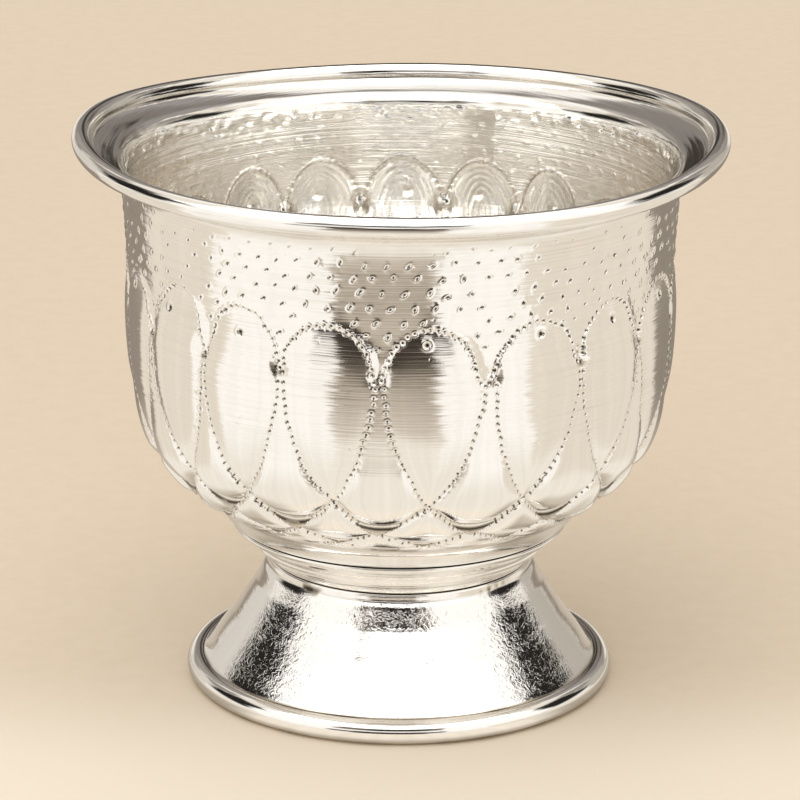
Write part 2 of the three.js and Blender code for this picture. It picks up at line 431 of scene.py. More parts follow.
def nearest(field, phi, z, reach=3.2):
    """Lowers field to the distance from the polyline (phi, z), on the wall's lattice."""
    s = np.interp(z, Z, S)
    ds = S[1] - S[0]
    for a in range(len(phi) - 1):
        sm = (s[a] + s[a + 1]) / 2
        r = np.interp(sm, S, R)
        half = abs(s[a + 1] - s[a]) / 2 + reach
        j0, j1 = max(0, int((sm - half) / ds)), min(NV, int((sm + half) / ds) + 2)
        pm = (phi[a] + phi[a + 1]) / 2
        du = 360.0 / NU
        wide = (abs(phi[a + 1] - phi[a]) / 2 + reach / (r * RAD)) / du
        i = np.arange(int(pm / du - wide), int(pm / du + wide) + 2)
        x = ((i * du - phi[a]) * RAD * r)[:, None]
        y = (S[j0:j1] - s[a])[None, :]
        ex, ey = (phi[a + 1] - phi[a]) * RAD * r, s[a + 1] - s[a]
        t = np.clip((x * ex + y * ey) / max(ex * ex + ey * ey, 1e-9), 0, 1)
        d = np.hypot(x - t * ex, y - t * ey)
        block = field[i % NU, j0:j1]
        field[i % NU, j0:j1] = np.minimum(block, d)


def relief():
    """Height of the embossing over the plain wall, without the punched dots."""
    phi = PHI[:, None]
    z = Z[None, :]
    deg = RAD * R[None, :]

    # the edge over the arches
    top = np.full((NU, NV), 9.0)
    sp, sz = dense(SCALLOPS + [(SCALLOPS[0][0] + 360.0, SCALLOPS[0][1])], 0.35)
    nearest(top, sp, sz, 4.0)
    order = np.array(SCALLOPS)
    edge = np.interp((PHI - order[0, 0]) % 360.0 + order[0, 0], np.append(order[:, 0], order[0, 0] + 360.0), np.append(order[:, 1], order[0, 1]))
    above = z > edge[:, None]

    # for every lattice point, its distances to the four lines round its cell
    lo_l, lo_r = np.full((NU, NV), 9.0), np.full((NU, NV), 9.0)
    up_l, up_r = np.full((NU, NV), 9.0), np.full((NU, NV), 9.0)
    kite = np.zeros((NU, NV), bool)
    row = np.zeros((NU, NV), int)
    slope_r = np.gradient(RIGHT, S, axis=1)
    slope_l = np.gradient(LEFT, S, axis=1)
    for j in range(NV):
        if Z[j] < 18.5 or Z[j] > 47:
            continue
        rr, ll = RIGHT[:, j], LEFT[:, j]
        for lines, slope, out_left, out_right in ((rr, slope_r[:, j], lo_l, up_r), (ll, slope_l[:, j], up_l, lo_r)):
            o = np.argsort(lines % 360.0)
            v = (lines % 360.0)[o]
            c = 1 / np.sqrt(1 + (slope[o] * deg[0, j]) ** 2)
            n = np.searchsorted(v, PHI, side="right")
            a = (n - 1) % NP
            b = n % NP
            out_left[:, j] = ((PHI - v[a]) % 360.0) * deg[0, j] * c[a]
            out_right[:, j] = ((v[b] - PHI) % 360.0) * deg[0, j] * c[b]
            if lines is rr:
                ir = o[a]
            else:
                il = o[b]
        # a petal lies between line k to the right and line k+1 to the left
        gap = (il - ir) % NP
        row[:, j] = gap
    # gap 1: petal (first row); 0 or lower: kites below a cusp; counted from the crossings
    low = softmin(lo_l, lo_r, 2.4 + 2.4 * smooth(21.2, 23.6, z))
    up = softmin(up_l, up_r, 1.2)
    petal = (row == 1) & ~above & (z > 25.0)
    lattice = (z < 39.5) & ~petal
    lively = smooth(19.35, 20.2, z)

    h = np.zeros((NU, NV))
    inside = np.minimum(np.where(z > 36, top, 9.0), np.minimum(lo_l, lo_r))
    body = 0.26 * (1 - np.exp(-((inside / 0.95) ** 1.15))) * (0.75 + 0.25 * smooth(26, 38, z)) * (1 - 0.35 * smooth(40, 43, z))
    tip = 1 + 0.5 * smooth(32, 26, z)
    crown = 0.27 * np.clip((z - 38.6) / 5.6, 0, 1.2) ** 1.7 + 0.04 * smooth(30, 42, z)
    h = np.where(petal, body * tip - crown, h)
    amount = 0.05 + 0.72 * smooth(33.0, 24.8, z)
    amount = amount * (1 - 0.35 * smooth(22.6, 20.0, z))
    pillow = amount * (1 - np.exp(-((np.maximum(low, 0) / 0.95) ** 1.4))) * (1 - 0.7 * np.exp(-np.maximum(up, 0) / 0.55))
    corner = np.maximum(-low, 0)                  # past the round lower end of a cell
    strong = smooth(30.0, 25.0, z) * (1 - 0.3 * smooth(22.0, 20.2, z))
    pillow = pillow + strong * (0.40 * corner + 0.17 * (1 - np.exp(-corner / 0.12)))
    h = np.where(lattice, pillow, h)

    # the spaces over the cusps: the sheet falls away from the arch on the left and runs level to the next one
    rng = np.random.default_rng(64)
    for k in range(NP):
        side = [p for p in ARCHES[k] if p[0] > CUSPS[k] + 0.6 * WIDTH[k]]
        side.append((CUSPS[k] + WIDTH[k], CUSP_FOOT.get((k + 1) % NP, 39.35)))
        one = np.full((NU, NV), 9.0)
        a, b = dense(side, 0.3)
        nearest(one, a, b, 6.0)
        centre = side[0][0]
        x = (phi - centre + 180.0) % 360.0 - 180.0
        falls = 0.07 if k == 17 else rng.uniform(0.24, 0.36)
        sink = falls * smooth(0.0, 1.05, one) * smooth(47.5, 41.8, z) * smooth(13.0, 8.0, np.abs(x - 6.0)) * smooth(-1.0, 3.0, x)
        h = h - np.where(above & (one < 8.9), sink, 0)
    dent = np.zeros((NU, NV))
    for k in range(NP):
        c = CUSPS[k]
        d = (phi - c + 180.0) % 360.0 - 180.0
        x = d * RAD * R[None, :]
        zc = CUSP_FOOT.get(k, 39.35) + 0.75
        wide = 0.62 + 0.25 * ((k * 7) % 5) / 4
        dent += np.where(np.abs(d) < 14, 0.34 * np.exp(-((x / wide) ** 2) - ((z - zc) / 0.85) ** 2), 0)
    h = h - dent

    # a fold along every edge, where the punches ran
    fold = np.full((NU, NV), 9.0)
    for k in range(NP):
        for table in (RIGHT, LEFT):
            p = line_points(table, k, 19.9, 39.6 + 1.2 * (8 <= k <= 11))
            a, b = dense(p, 0.4)
            nearest(fold, a, b, 2.4)
    h -= 0.05 * np.exp(-((fold / 0.42) ** 2)) * (0.3 + 0.7 * smooth(34, 28, z)) * lively
    h = h * np.where(z < 30, lively, 1.0)
    # painted shade: the colour is darkened at the round lower ends of the cells, along the crease at heights 19 to 20
    # and at the foot of every cusp, where shade falls
    shade = 0.62 * smooth(0.0, 0.1, corner) * (1 - 0.55 * smooth(0.2, 1.1, corner)) + 0.55 * np.exp(-(((corner - 0.22) / 0.13) ** 2)) * (corner > 0)
    cell_shade = strong * (shade + 0.34 * np.exp(-((low - 0.25) / 0.35) ** 2) * (low > 0.1)) * lattice
    cell_shade = np.maximum(cell_shade, 0.5 * smooth(19.0, 19.3, z) * smooth(20.1, 19.6, z) + 0 * low)
    for k in range(NP):
        x = ((phi - CUSPS[k] + 180.0) % 360.0 - 180.0) * RAD * R[None, :]
        zc = CUSP_FOOT.get(k, 39.35) + 0.1
        cell_shade = np.maximum(cell_shade, 0.9 * np.exp(-((x / 0.42) ** 2) - ((z - zc) / 0.32) ** 2))
    return h, top, fold, above, petal, dent, cell_shade


H0, TOP, FOLD, ABOVE, PETAL, DENT, CELL_SHADE = relief()
for _ in range(2):           # takes the jagged edge off the steps between cells
    H0 = (np.roll(H0, 1, 0) + 2 * H0 + np.roll(H0, -1, 0)) / 4
    H0[:, 1:-1] = (H0[:, :-2] + 2 * H0[:, 1:-1] + H0[:, 2:]) / 4

CALM = smooth(19.2, 21.0, Z)[None, :] * 0.8 + 0.2
WAVE = (
    0.016 * noise(NU, NV, 34, 7, RNG)
    + 0.0110 * noise(NU, NV, 92, 20, RNG)
    + 0.0030 * noise(NU, NV, 330, 70, RNG)
) * CALM


def dots():
    """Every punched mark: angle, height, radius, depth, ring, stretch, turn."""
    rng = np.random.default_rng(5)
    out = []
    sp, sz = dense(SCALLOPS + [(SCALLOPS[0][0] + 360.0, SCALLOPS[0][1])], 0.74)
    for a, z in zip(sp[:-1], sz[:-1]):
        out.append((a + rng.normal(0, 0.12), z + rng.normal(0, 0.06), rng.uniform(0.16, 0.215), rng.uniform(0.10, 0.14), rng.uniform(0.045, 0.075), 1.0, 0.0))
    for k in range(NP):
        for table in (RIGHT, LEFT):
            p = line_points(table, k, 20.3, 39.3)
            a, z = dense(p, 0.77)
            for x, y in zip(a[1:], z[1:]):
                big = smooth(29, 36, y)
                out.append((x + rng.normal(0, 0.1), y + rng.normal(0, 0.05), (0.155 + 0.01 * big) * rng.uniform(0.88, 1.15),
                            (0.11 + 0.02 * big) * rng.uniform(0.8, 1.2), (0.045 + 0.015 * big) * rng.uniform(0.6, 1.3), 1.0, 0.0))
    rows = [(52.15, 0.4), (50.75, 0.75), (49.3, 0.9), (47.85, 1.0), (46.45, 1.0), (45.05, 1.0), (43.6, 1.0), (42.2, 1.0)]
    count = 81
    for n, (zr, force) in enumerate(rows):
        for i in range(count):
            a = (i + 0.41 * n) * 360.0 / count + rng.normal(0, 0.28)
            z = zr + rng.normal(0, 0.13) + 0.12 * math.sin(a * RAD * 3 + n)
            iu, iv = int(round(a % 360.0 / 360.0 * NU)) % NU, int(np.searchsorted(Z, z))
            if iv >= NV - 8 or not ABOVE[iu, iv] or TOP[iu, iv] < 0.75:
                continue
            if rng.random() > 0.55 + 0.4 * force:
                continue
            lean = -48 + rng.normal(0, 16)
            out.append((a, z, rng.uniform(0.14, 0.195), rng.uniform(0.10, 0.145) * force, rng.uniform(0.05, 0.075) * force, rng.uniform(1.25, 1.75), lean))
    for k in range(NP):
        if k == 18:
            continue
        t = 0.42 + 0.16 * rng.random()
        a = CUSPS[k] + WIDTH[k] * t
        z = 43.0 + rng.normal(0, 0.15)
        out.append((a, z, 0.33, 0.13, 0.06, 1.0, 0.0))
    for _ in range(120):
        a, z = rng.uniform(0, 360), rng.uniform(30, 52)
        out.append((a, z, rng.uniform(0.07, 0.12), rng.uniform(0.015, 0.035), 0.0, rng.uniform(1, 2), rng.uniform(0, 180)))
    return out


DOTS = dots()


def stamp(field, shade_dirt, marks, nu, nv, s_row, z_row, r_row, gain=1.0, spread=1.0, lips=True):
    ds = s_row[1] - s_row[0]
    for a, z, rad, depth, lip, stretch, lean in marks:
        s = float(np.interp(z, z_row, s_row))
        r = float(np.interp(z, z_row, r_row))
        reach = (rad * 3.0 * stretch + 0.1) * spread
        j0, j1 = max(0, int((s - reach) / ds)), min(nv, int((s + reach) / ds) + 2)
        du = 2 * math.pi * r / nu
        u = a % 360.0 / 360.0 * nu
        i = np.arange(int(u - reach / du), int(u + reach / du) + 2)
        x = ((i - u) * du)[:, None] + np.zeros((1, j1 - j0))
        y = (s_row[j0:j1] - s)[None, :] + np.zeros((len(i), 1))
        c, n = math.cos(lean * RAD), math.sin(lean * RAD)
        p, q = (x * c - y * n), (x * n + y * c)
        d = np.hypot(p / stretch, q * stretch**0.4) / (rad * spread)
        pit = -depth * np.exp(-((d / 0.86) ** 2.4))
        rise = lip * np.exp(-(((d - 1.45) / 0.42) ** 2)) if lips else 0.0
        field[i % nu, j0:j1] += gain * (pit + rise)
        # painted shade and dirt: the centre of every mark is darkened, partly as the shade in the pit and partly as
        # dirt
        if shade_dirt is not None:
            shade_dirt[i % nu, j0:j1] = np.maximum(shade_dirt[i % nu, j0:j1], np.minimum(1.0, 1.7 * np.exp(-((d / 0.6) ** 2))) * min(1.0, depth / 0.1))


H = H0 + WAVE
# painted shade: the colour darkens along the punched folds and through the painted cell shade; stamp then adds dark dot
# centres, partly painted shade in the pits and partly dirt
SHADE_DIRT = np.maximum(0.12 * np.exp(-((FOLD / 0.25) ** 2)), 0.85 * CELL_SHADE) * smooth(18.9, 19.3, Z)[None, :]
stamp(H, SHADE_DIRT, DOTS, NU, NV, S, Z, R)


# ---------------------------------------------------------------------------
# materials
# ---------------------------------------------------------------------------
class Nodes:
    """Short hand for building a node tree."""

    def __init__(self, name):
        self.mat = bpy.data.materials.new(name)
        self.mat.use_nodes = True
        self.t = self.mat.node_tree
        self.t.nodes.clear()

    def new(self, kind, **props):
        n = self.t.nodes.new(kind)
        for k, v in props.items():
            setattr(n, k, v)
        return n

    def link(self, a, b):
        self.t.links.new(a, b)

    def math(self, op, a, b=None, c=None, clamp=False):
        n = self.new("ShaderNodeMath", operation=op, use_clamp=clamp)
        for i, v in enumerate((a, b, c)):
            if v is None:
                continue
            if isinstance(v, (int, float)):
                n.inputs[i].default_value = v
            else:
                self.link(v, n.inputs[i])
        return n.outputs[0]

    def scaled(self, vec, x, y, z):
        n = self.new("ShaderNodeMapping")
        n.inputs["Scale"].default_value = (x, y, z)
        self.link(vec, n.inputs["Vector"])
        return n.outputs[0]

    def tex_noise(self, vec, scale, detail=2.0, rough=0.5, distortion=0.0):
        n = self.new("ShaderNodeTexNoise")
        n.inputs["Scale"].default_value = scale
        n.inputs["Detail"].default_value = detail
        n.inputs["Roughness"].default_value = rough
        n.inputs["Distortion"].default_value = distortion
        self.link(vec, n.inputs["Vector"])
        return n.outputs["Fac"]

    def remap(self, v, a, b, c, d, smooth_step=False):
        n = self.new("ShaderNodeMapRange")
        if smooth_step:
            n.interpolation_type = "SMOOTHSTEP"
        n.clamp = True
        self.link(v, n.inputs["Value"])
        for name, x in zip(("From Min", "From Max", "To Min", "To Max"), (a, b, c, d)):
            n.inputs[name].default_value = x
        return n.outputs[0]

    def ramp(self, v, stops):
        n = self.new("ShaderNodeValToRGB")
        el = n.color_ramp.elements
        while len(el) < len(stops):
            el.new(0.5)
        for e, (pos, col) in zip(el, stops):
            e.position = pos
            e.color = (*col, 1.0)
        self.link(v, n.inputs[0])
        return n.outputs[0]

    def bump(self, height, distance, before=None, strength=1.0):
        n = self.new("ShaderNodeBump")
        n.inputs["Strength"].default_value = strength
        n.inputs["Distance"].default_value = distance
        self.link(height, n.inputs["Height"])
        if before is not None:
            self.link(before, n.inputs["Normal"])
        return n.outputs[0]

    def metal(self, color, rough, normal):
        b = self.new("ShaderNodeBsdfPrincipled")
        b.inputs["Metallic"].default_value = 1.0
        self.link(color, b.inputs["Base Color"])
        self.link(rough, b.inputs["Roughness"])
        if normal is not None:
            self.link(normal, b.inputs["Normal"])
        out = self.new("ShaderNodeOutputMaterial")
        self.link(b.outputs[0], out.inputs[0])
        return self.mat


def bowl_material():
    m = Nodes("embossed_bright_metal")
    tc = m.new("ShaderNodeTexCoord").outputs["Object"]
    xyz = m.new("ShaderNodeSeparateXYZ")
    m.link(tc, xyz.inputs[0])
    z = xyz.outputs[2]
    shade_dirt = m.new("ShaderNodeAttribute", attribute_name="shade_and_dirt").outputs["Fac"]
    inner = m.new("ShaderNodeAttribute", attribute_name="inside").outputs["Fac"]
    # turning lines: rings that wander a little, strong on the straight wall
    wander = m.tex_noise(m.scaled(tc, 1, 1, 1), 95.0, 1.0)
    warped = m.math("ADD", m.math("MULTIPLY", z, 1000.0), m.math("MULTIPLY", wander, 0.2))
    comb = m.new("ShaderNodeCombineXYZ")
    within = m.math("GREATER_THAN", inner, 0.2)
    long = m.math("SUBTRACT", 62.0, m.math("MULTIPLY", within, 34.0))
    m.link(m.math("MULTIPLY", xyz.outputs[0], long), comb.inputs[0])
    m.link(m.math("MULTIPLY", xyz.outputs[1], long), comb.inputs[1])
    m.link(m.math("MULTIPLY", warped, 6.4), comb.inputs[2])
    rings = m.tex_noise(comb.outputs[0], 1.0, 2.0, 0.55)
    high = m.remap(z, 0.0270, 0.0345, 0.14, 1.0, True)
    patch = m.remap(m.tex_noise(tc, 130.0, 1.0), 0.3, 0.7, 0.45, 1.0)
    force = m.math("MULTIPLY", m.math("MULTIPLY", high, patch), m.remap(inner, 0.25, 1.0, 0.12, 1.5))
    force = m.math("ADD", force, m.math("MULTIPLY", m.math("MULTIPLY", high, patch), m.remap(inner, 0.0, 0.1, 0.7, 0.0)))
    lines = m.math("MULTIPLY", rings, force)
    n1 = m.bump(lines, 0.000026)
    # faint scratches in many directions and a very fine grain
    scr = m.tex_noise(m.scaled(tc, 900, 900, 260), 1.0, 3.0, 0.6, 1.5)
    n2 = m.bump(scr, 0.0000022, n1)
    grain = m.tex_noise(tc, 5200.0, 2.0, 0.6)
    n3 = m.bump(grain, 0.0000005, n2)
    # every turning line faces a little to one side: frays the upright edges of reflections
    shift = m.new("ShaderNodeVectorMath", operation="ADD")
    m.link(comb.outputs[0], shift.inputs[0])
    shift.inputs[1].default_value = (17.3, 4.1, 31.7)
    fray = m.math("SUBTRACT", m.tex_noise(shift.outputs[0], 1.0, 1.5, 0.5), 0.5)
    side = m.new("ShaderNodeCombineXYZ")
    m.link(m.math("MULTIPLY", xyz.outputs[1], -1.0), side.inputs[0])
    m.link(xyz.outputs[0], side.inputs[1])
    unit = m.new("ShaderNodeVectorMath", operation="NORMALIZE")
    m.link(side.outputs[0], unit.inputs[0])
    push = m.new("ShaderNodeVectorMath", operation="SCALE")
    m.link(unit.outputs[0], push.inputs[0])
    m.link(m.math("MULTIPLY", m.math("MULTIPLY", fray, force), 0.19), push.inputs["Scale"])
    lean = m.new("ShaderNodeVectorMath", operation="ADD")
    m.link(n3, lean.inputs[0])
    m.link(push.outputs[0], lean.inputs[1])
    normal = m.new("ShaderNodeVectorMath", operation="NORMALIZE")
    m.link(lean.outputs[0], normal.inputs[0])
    cloud = m.tex_noise(tc, 160.0, 4.0, 0.6)
    rough = m.math("ADD", m.remap(cloud, 0.3, 0.75, 0.055, 0.105), m.math("MULTIPLY", shade_dirt, 0.16))
    streak = m.math("MULTIPLY", m.remap(rings, 0.45, 0.62, 0.0, 0.24), m.math("MULTIPLY", force, m.math("SUBTRACT", 1.0, m.math("MULTIPLY", within, 0.7))))
    haze = m.math("MULTIPLY", m.math("ADD", m.math("MULTIPLY", cloud, 0.12), streak), m.math("SUBTRACT", 1.0, m.math("MULTIPLY", within, 0.75)))
    # painted shade and dirt: the attribute read above darkens the colour
    tone = m.math("ADD", haze, m.math("MULTIPLY", shade_dirt, 0.95))
    color = m.ramp(tone, [(0.0, (0.98, 0.968, 0.945)), (0.2, (0.935, 0.912, 0.875)), (0.6, (0.56, 0.505, 0.43)), (1.0, (0.045, 0.035, 0.028))])
    return m.metal(color, rough, normal.outputs[0])


def foot_material():
    m = Nodes("planished_bright_metal")
    tc = m.new("ShaderNodeTexCoord").outputs["Object"]
    xyz = m.new("ShaderNodeSeparateXYZ")
    m.link(tc, xyz.inputs[0])
    z = xyz.outputs[2]
    shade_dirt = m.new("ShaderNodeAttribute", attribute_name="shade_and_dirt").outputs["Fac"]
    skin = m.math("MULTIPLY", m.remap(z, 0.0022, 0.0029, 0.0, 1.0, True), m.remap(z, 0.0108, 0.0122, 1.0, 0.12, True))
    crinkle = m.tex_noise(m.scaled(tc, 1, 1, 1.2), 1750.0, 1.5, 0.5, 1.8)
    # the hammering is fainter on the two flanks
    length = m.new("ShaderNodeVectorMath", operation="LENGTH")
    m.link(m.scaled(tc, 1, 1, 0), length.inputs[0])
    flank = m.math("DIVIDE", m.math("ABSOLUTE", xyz.outputs[0], 0.0), length.outputs["Value"])
    skin = m.math("MULTIPLY", skin, m.remap(flank, 0.84, 0.93, 1.0, 0.25, True))
    plain = m.math("MULTIPLY", m.remap(flank, 0.25, 0.5, 0.9, 0.0, True), m.remap(z, 0.0094, 0.0101, 1.0, 0.0, True))
    skin = m.math("MULTIPLY", skin, m.math("SUBTRACT", 1.0, plain))
    n1 = m.bump(m.math("MULTIPLY", crinkle, skin), 0.000041)
    grain = m.tex_noise(tc, 5200.0, 2.0, 0.6)
    n2 = m.bump(grain, 0.0000012, n1)
    cloud = m.tex_noise(tc, 170.0, 4.0, 0.6)
    rough = m.math("ADD", m.remap(cloud, 0.3, 0.75, 0.05, 0.1), m.math("MULTIPLY", shade_dirt, 0.2))
    # painted shade: the attribute read above darkens the colour
    tone = m.math("ADD", m.math("MULTIPLY", cloud, 0.2), m.math("MULTIPLY", shade_dirt, 0.95))
    color = m.ramp(tone, [(0.0, (0.975, 0.96, 0.935)), (0.14, (0.955, 0.935, 0.905)), (0.55, (0.56, 0.505, 0.43)), (1.0, (0.06, 0.048, 0.04))])
    return m.metal(color, rough, n2)


def collar_material():
    m = Nodes("spun_bright_metal")
    tc = m.new("ShaderNodeTexCoord").outputs["Object"]
    shade_dirt = m.new("ShaderNodeAttribute", attribute_name="shade_and_dirt").outputs["Fac"]
    rings = m.tex_noise(m.scaled(tc, 38, 38, 3600), 1.0, 2.0, 0.6)
    n1 = m.bump(rings, 0.000004)
    grain = m.tex_noise(tc, 3200.0, 3.0, 0.6)
    n2 = m.bump(grain, 0.0000015, n1)
    cloud = m.tex_noise(tc, 190.0, 4.0, 0.6)
    rough = m.math("ADD", m.remap(cloud, 0.3, 0.75, 0.07, 0.13), m.math("MULTIPLY", shade_dirt, 0.2))
    # painted shade: the attribute read above darkens the colour
    tone = m.math("ADD", m.math("MULTIPLY", cloud, 0.2), m.math("MULTIPLY", shade_dirt, 0.95))
    color = m.ramp(tone, [(0.0, (0.97, 0.955, 0.93)), (0.14, (0.95, 0.93, 0.9)), (0.55, (0.56, 0.505, 0.43)), (1.0, (0.06, 0.048, 0.04))])
    return m.metal(color, rough, n2)


def solder_material():
    m = Nodes("dull_solder")
    tc = m.new("ShaderNodeTexCoord").outputs["Object"]
    lump = m.tex_noise(tc, 900.0, 4.0, 0.6)
    n1 = m.bump(lump, 0.00006)
    grain = m.tex_noise(tc, 4200.0, 3.0, 0.6)
    n2 = m.bump(grain, 0.000006, n1)
    rough = m.remap(grain, 0.3, 0.7, 0.3, 0.55)
    color = m.ramp(lump, [(0.0, (0.36, 0.345, 0.32)), (0.5, (0.55, 0.53, 0.5)), (1.0, (0.7, 0.68, 0.65))])
    return m.metal(color, rough, n2)


def floor_material():
    m = Nodes("pale_table")
    tc = m.new("ShaderNodeTexCoord").outputs["Object"]
    fine = m.tex_noise(tc, 420.0, 4.0, 0.6)
    plain = m.ramp(fine, [(0.35, (0.82, 0.715, 0.585)), (0.65, (0.845, 0.74, 0.612))])
    # painted light: the cloth is painted paler towards the front, where more light falls
    xyz = m.new("ShaderNodeSeparateXYZ")
    m.link(tc, xyz.inputs[0])
    front_light_paint = m.new("ShaderNodeMix", data_type="RGBA")
    m.link(m.remap(xyz.outputs[1], -0.028, 0.004, 0.95, 0.0, True), front_light_paint.inputs["Factor"])
    m.link(plain, front_light_paint.inputs["A"])
    front_light_paint.inputs["B"].default_value = (0.985, 0.905, 0.785, 1.0)
    color = front_light_paint.outputs["Result"]
    b = m.new("ShaderNodeBsdfPrincipled")
    b.inputs["Roughness"].default_value = 0.8
    b.inputs["Specular IOR Level"].default_value = 0.15
    m.link(color, b.inputs["Base Color"])
    out = m.new("ShaderNodeOutputMaterial")
    m.link(b.outputs[0], out.inputs[0])
    return m.mat


# ---------------------------------------------------------------------------
# bowl
# ---------------------------------------------------------------------------
SHEET = 0.45
BEAD = (31.42, 55.57)
BEAD_R = 0.956


def make_bowl(material):
    sh = Sheet()
    ang = PHI * RAD
    rise = rim_rise(PHI)[:, None] * smooth(46.5, 53.2, Z)[None, :]
    rr = R[None, :] + H * NR[None, :]
    zz = Z[None, :] + H * NZ[None, :] + rise
    pos = np.stack([rr * np.sin(ang)[:, None], -rr * np.cos(ang)[:, None], zz], 2)

    # underside of the floor, from the middle outwards
    centre = sh.add([(0, 0, 16.2)])[0]
    under = along([(1.2, 16.2), (7.0, 16.2), (13.5, 16.25), (15.9, 16.6), (16.8, 16.94)], 0.9)
    prev = None
    for r, z in under:
        now = sh.add(ring(r, z, NC))
        if prev is None:
            sh.fan(now, centre, False)
        else:
            sh.band(prev, now)
        prev = now

    split = cells_to_split(H, NC, MC, K, 0.018)
    first, last = adaptive_wall(sh, NC, MC, K, pos, SHADE_DIRT, split)
    sh.band(prev, first)

    # lip and rolled rim
    wob_r = 0.05 * ring_noise(NC, 9, RNG)
    wob_z = 0.05 * ring_noise(NC, 7, RNG)
    lift = rim_rise(np.arange(NC) * 360.0 / NC)
    lip = along([(28.34, 53.2), (28.9, 53.7), (29.6, 54.1), (30.3, 54.43), (30.75, 54.75), (30.93, 55.15)], 0.2)[1:]
    rim = list(lip)
    rim += arc(*BEAD, 0.5, 205, -112, 16)
    rim += arc(*BEAD, BEAD_R, -112, 172, 7)
    rim += list(along([(30.47, 55.7), (30.44, 55.32), (30.26, 55.0), (29.7, 54.7), (28.9, 54.4), (28.2, 54.16), (27.68, 53.85),
                       (27.4, 53.45), (27.3, 53.0)], 0.2))
    prev = last
    under_lip = list(lip)
    rng = np.random.default_rng(41)
    beat = noise(NC, len(rim), 46, 16, rng)
    knock = noise(NC, len(rim), 170, 24, rng)
    flecks = np.clip(1.6 * ring_noise(NC, 150, rng), 0, 1) * (0.35 + 0.65 * smooth(30, 18, np.abs(np.arange(NC) * 360.0 / NC - 178.0)))
    for j, (r, z) in enumerate(rim):
        out = smooth(28.3, 30.5, r)
        # painted shade: the underside of the lip is darkened, and the crease where the curl meets the bead gets a
        # painted dark line
        rim_shade = 0.2 if len(under_lip) > 0 else 0.5 * math.exp(-(((r - 30.45) / 0.12) ** 2) - ((z - 55.4) / 0.3) ** 2)
        under_lip = under_lip[1:]
        top_side = float(j > len(rim) // 2 and r < 30.3)
        bend = top_side * math.exp(-((math.hypot(r - 27.6, z - 53.7) / 0.45) ** 2))
        hand = top_side * 0.014 * beat[:, j] * smooth(30.3, 29.9, r) + 0.05 * bend * knock[:, j]
        now = sh.add(ring(r, z, NC, dr=wob_r * out * (1 - smooth(32.0, 32.4, r)) + hand * 0.7, dz=lift + wob_z * out * 0.5 + hand * 0.7),
                     np.maximum(rim_shade, 0.75 * bend * flecks))
        sh.band(prev, now)
        prev = now

    # inner wall: the embossing seen from behind, softened
    k2 = 2
    nu2 = NC * k2
    j_top = NV - 1 - 2 * K
    j_low = 4 * K
    rows = np.arange(j_top, j_low - 1, -(K // k2))
    mc2 = (len(rows) - 1) // k2
    rows = rows[: mc2 * k2 + 1]
    flutes = noise(NU, NV, 320, 5, RNG) * 0.0035 + noise(NU, NV, 150, 4, RNG) * 0.005
    reach = np.minimum(np.where(Z[None, :] > 36, TOP, 9.0), FOLD * 1.0)
    contour = 0.022 * np.sin(2 * np.pi * np.minimum(reach + 0.12 * WAVE / 0.016, 3.2) / 0.7) * np.exp(-reach / 3.0) * smooth(0.1, 0.5, reach)
    soft = 0.3 * (H0 + DENT) - 1.6 * DENT + 0.6 * WAVE + (flutes + contour) * PETAL
    for _ in range(3):
        soft = (np.roll(soft, 1, 0) + 2 * soft + np.roll(soft, -1, 0)) / 4
        soft[:, 1:-1] = (soft[:, :-2] + 2 * soft[:, 1:-1] + soft[:, 2:]) / 4
    inner = soft.copy()
    stamp(inner, None, [(a, z, rad * 1.15, depth * 0.6, 0, st, le) for a, z, rad, depth, lip_, st, le in DOTS], NU, NV, S, Z, R, 1.0, 1.0, False)
    rng = np.random.default_rng(23)
    scars = []
    for _ in range(230):
        scars.append((rng.uniform(0, 360), rng.uniform(51.2, 52.75), rng.uniform(0.14, 0.24), rng.uniform(-0.10, 0.11), 0.0, rng.uniform(1.4, 3.2), rng.normal(0, 8)))
    for _ in range(110):
        scars.append((rng.uniform(95, 268), rng.uniform(52.0, 52.7), rng.uniform(0.2, 0.27), rng.choice([-0.15, 0.16]), 0.0, rng.uniform(1.2, 2.0), rng.normal(0, 10)))
    stamp(inner, None, scars, NU, NV, S, Z, R, 1.0, 1.0, False)
    hin = inner[:: K // k2][:, rows]
    ang2 = ang[:: K // k2]
    back = smooth(48.5, 52.6, Z[rows])
    base = (R[rows] - SHEET * NR[rows]) * (1 - back) + (27.06 + (Z[rows] - 50) * 0.08) * back
    ri = base[None, :] + hin * NR[rows][None, :]
    zi = Z[rows][None, :] + (hin - SHEET) * NZ[rows][None, :] + rise[:: K // k2][:, rows]
    pos2 = np.stack([ri * np.sin(ang2)[:, None], -ri * np.cos(ang2)[:, None], zi], 2)
    # painted shade: thin dark lines along the arches and folds on the inner wall
    edge = np.exp(-((np.minimum(TOP, FOLD) / 0.14) ** 2)) * 0.62
    # painted reflection: stripes in the colour that follow the arches inside the petals, standing in for reflections
    # off the contoured metal
    drift = reach + 0.35 * noise(NU, NV, 60, 6, rng)
    grain = 0.30 * np.clip(0.5 + 0.5 * np.sin(2 * np.pi * drift / 0.62) + 0.25 * noise(NU, NV, 300, 8, rng), 0, 1) ** 2 * PETAL * smooth(0.15, 0.4, reach) * (reach < 3.9)
    inner_darkening = np.maximum(SHADE_DIRT * 0.3, edge * (Z[None, :] < 48.0))
